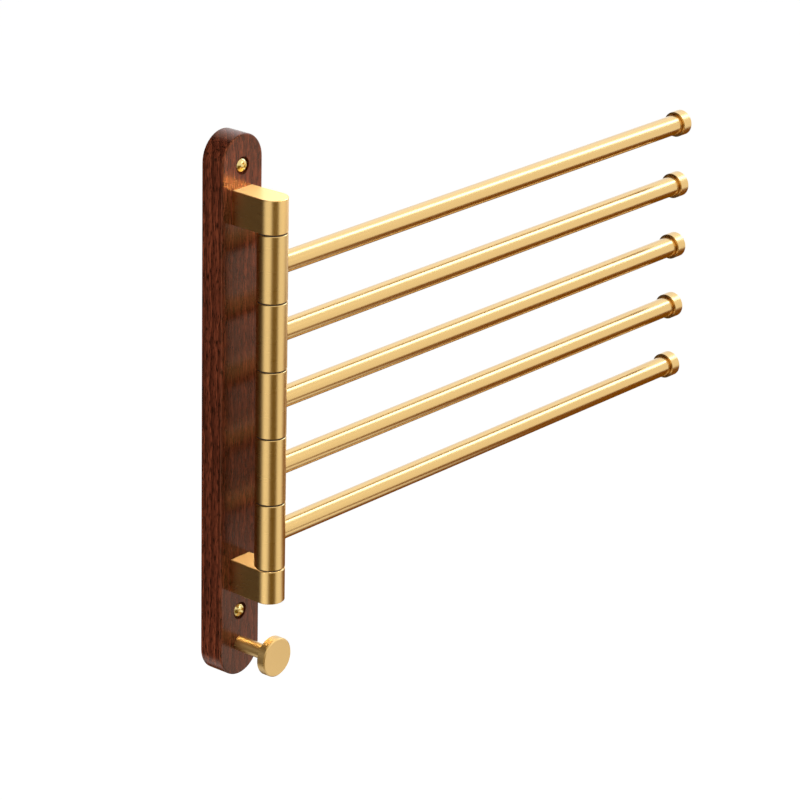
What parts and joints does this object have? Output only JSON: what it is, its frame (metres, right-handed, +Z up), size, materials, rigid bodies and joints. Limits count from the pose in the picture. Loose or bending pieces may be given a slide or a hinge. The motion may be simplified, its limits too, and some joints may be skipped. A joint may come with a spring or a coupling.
{
  "type": "swing arm towel bar",
  "caption": "Wall-hung towel bar: a walnut backboard with a vertical pivot that carries long brass arms at stacked levels, each of which swings on its own, and a round peg hook below.",
  "frame": {"origin": "centre of the backboard's back face, on the wall", "axes": "+X along the wall to the right, +Y into the wall, +Z up. At rest the arms lie along the wall and point to +X."},
  "size_m": [0.4045, 0.06, 0.332],
  "materials": {
    "walnut": "dark reddish walnut with vertical grain under satin lacquer",
    "brushed_brass": "satin brushed, gold coloured",
    "brass_screw": "polished, lightly worn",
    "steel": "plain machined",
    "nylon": "matte dark nylon"
  },
  "bodies": {
    "wall_frame": {"back_board": "walnut", "upper_bracket": "brushed_brass", "lower_bracket": "brushed_brass", "pivot_rod": "steel", "thrust_washers": "nylon", "upper_bracket_screws": "steel", "lower_bracket_screws": "steel", "hook_screw": "steel", "hook": "brushed_brass", "wall_screws": "brass_screw"},
    "arm_1": {"barrel_1": "brushed_brass", "arm_plug_1": "steel", "arm_tube_1": "brushed_brass", "end_cap_1": "brushed_brass"},
    "arm_2": {"barrel_2": "brushed_brass", "arm_plug_2": "steel", "arm_tube_2": "brushed_brass", "end_cap_2": "brushed_brass"},
    "arm_3": {"barrel_3": "brushed_brass", "arm_plug_3": "steel", "arm_tube_3": "brushed_brass", "end_cap_3": "brushed_brass"},
    "arm_4": {"barrel_4": "brushed_brass", "arm_plug_4": "steel", "arm_tube_4": "brushed_brass", "end_cap_4": "brushed_brass"},
    "arm_5": {"barrel_5": "brushed_brass", "arm_plug_5": "steel", "arm_tube_5": "brushed_brass", "end_cap_5": "brushed_brass"}
  },
  "joints": [
    {"name": "arm_1_swing", "type": "hinge", "parent": "wall_frame", "child": "arm_1", "pos_m": [0, -0.0385, 0.0934], "axis": [0, 0, -1], "range_deg": [0, 180]},
    {"name": "arm_2_swing", "type": "hinge", "parent": "wall_frame", "child": "arm_2", "pos_m": [0, -0.0385, 0.0526], "axis": [0, 0, -1], "range_deg": [0, 180]},
    {"name": "arm_3_swing", "type": "hinge", "parent": "wall_frame", "child": "arm_3", "pos_m": [0, -0.0385, 0.0118], "axis": [0, 0, -1], "range_deg": [0, 180]},
    {"name": "arm_4_swing", "type": "hinge", "parent": "wall_frame", "child": "arm_4", "pos_m": [0, -0.0385, -0.029], "axis": [0, 0, -1], "range_deg": [0, 180]},
    {"name": "arm_5_swing", "type": "hinge", "parent": "wall_frame", "child": "arm_5", "pos_m": [0, -0.0385, -0.0698], "axis": [0, 0, -1], "range_deg": [0, 180]}
  ]
}
